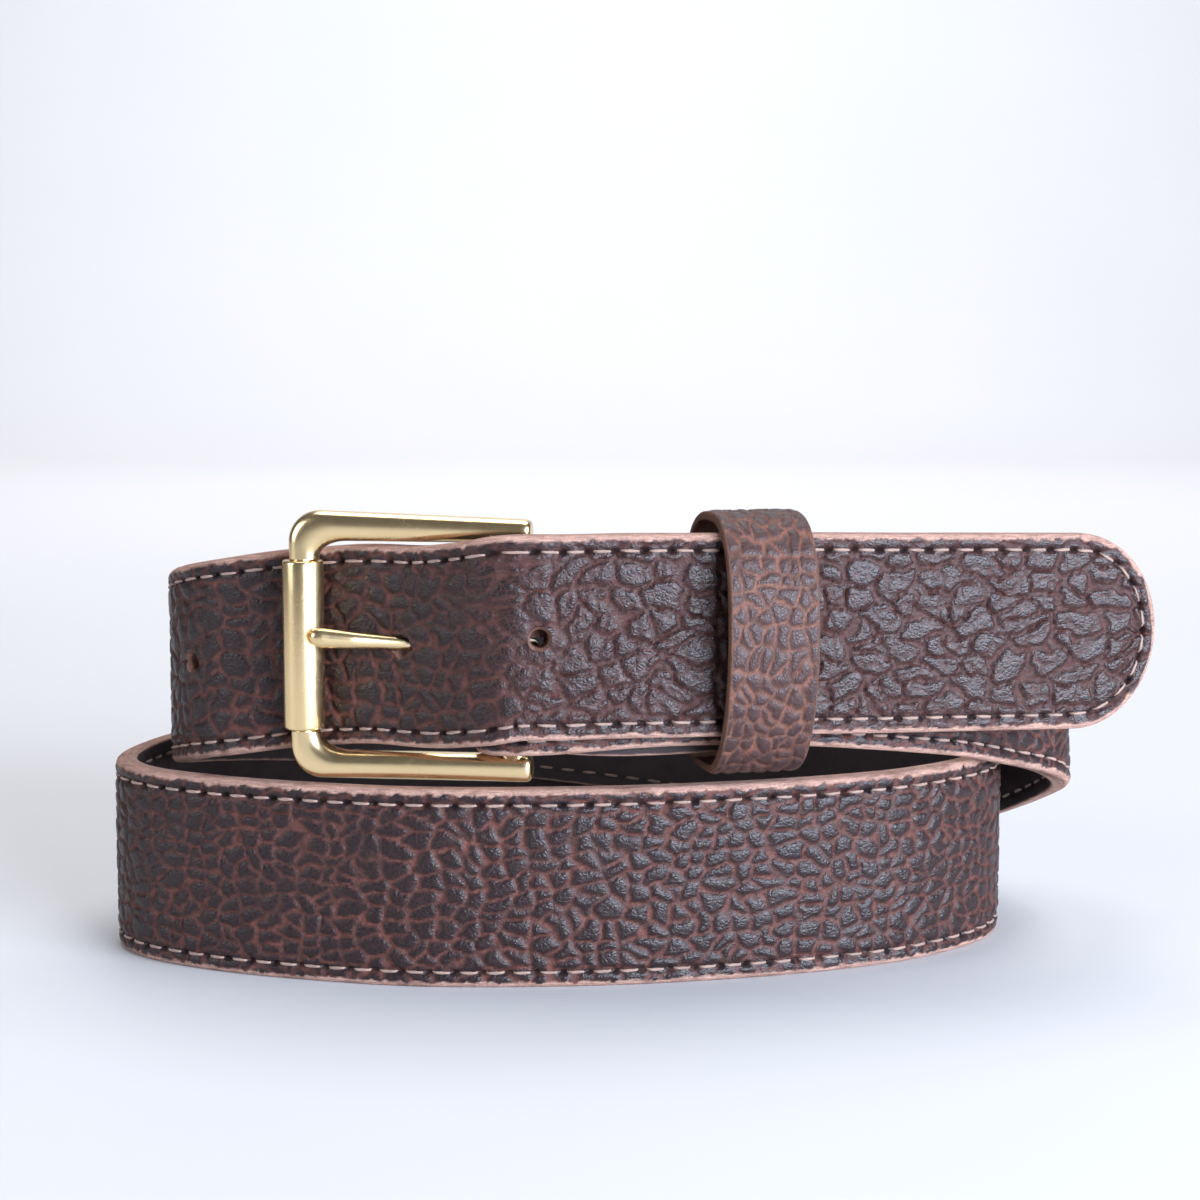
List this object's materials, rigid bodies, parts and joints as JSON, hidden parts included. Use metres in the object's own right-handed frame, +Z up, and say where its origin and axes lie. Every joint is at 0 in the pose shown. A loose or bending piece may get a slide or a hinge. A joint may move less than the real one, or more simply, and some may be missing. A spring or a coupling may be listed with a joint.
{
  "type": "leather belt",
  "caption": "Two-ply stitched leather strap with a roller buckle, prong and sliding keeper loop, shown buckled and coiled in a double loop that stands on edge.",
  "frame": {"origin": "middle of the coil's footprint, on the surface that it stands on", "axes": "+X along the buckled front, from the buckle towards the billet's tip; +Y from the front of the coil to its back; +Z up across the strap's width"},
  "size_m": [0.2072, 0.1298, 0.0903],
  "materials": {
    "leather_face": "pebbled full-grain dark brown leather with a waxy sheen and pale tan cut edges",
    "leather_lining": "smooth dark lining leather with raw tan edges",
    "thread": "waxed tan sewing thread",
    "brass": "pale satin brass",
    "leather_keeper": "pebbled red-brown leather",
    "steel": "plain nickel-plated steel"
  },
  "bodies": {
    "strap": {"strap_face_leather": "leather_face", "strap_lining_leather": "leather_lining", "seam_needle_thread": "thread", "seam_bobbin_thread": "thread", "fold_screw_post_lower": "steel", "fold_screw_post_upper": "steel", "fold_screw_lower": "steel", "fold_screw_upper": "steel"},
    "frame": {"buckle_frame": "brass"},
    "roller": {"buckle_roller": "brass"},
    "prong": {"buckle_prong": "brass"},
    "keeper": {"keeper_band": "leather_keeper", "keeper_staple_left": "steel", "keeper_staple_right": "steel"}
  },
  "joints": [
    {"name": "buckle_tilt", "type": "hinge", "parent": "strap", "child": "frame", "pos_m": [-0.02139, -0.05167, 0.0639], "axis": [0, 0, 1], "range_deg": [0, 2]},
    {"name": "prong_swing", "type": "hinge", "parent": "frame", "child": "prong", "pos_m": [-0.02139, -0.05167, 0.0639], "axis": [0, 0, 1], "range_deg": [0, 2]},
    {"name": "roller_spin", "type": "hinge", "parent": "frame", "child": "roller", "pos_m": [-0.06139, -0.04667, 0.06455], "axis": [0, 0, 1], "continuous": true},
    {"name": "keeper_slide", "type": "slide", "parent": "strap", "child": "keeper", "axis": [0.9689, 0.2474, 0], "range_m": [-0.004, 0.006]}
  ]
}
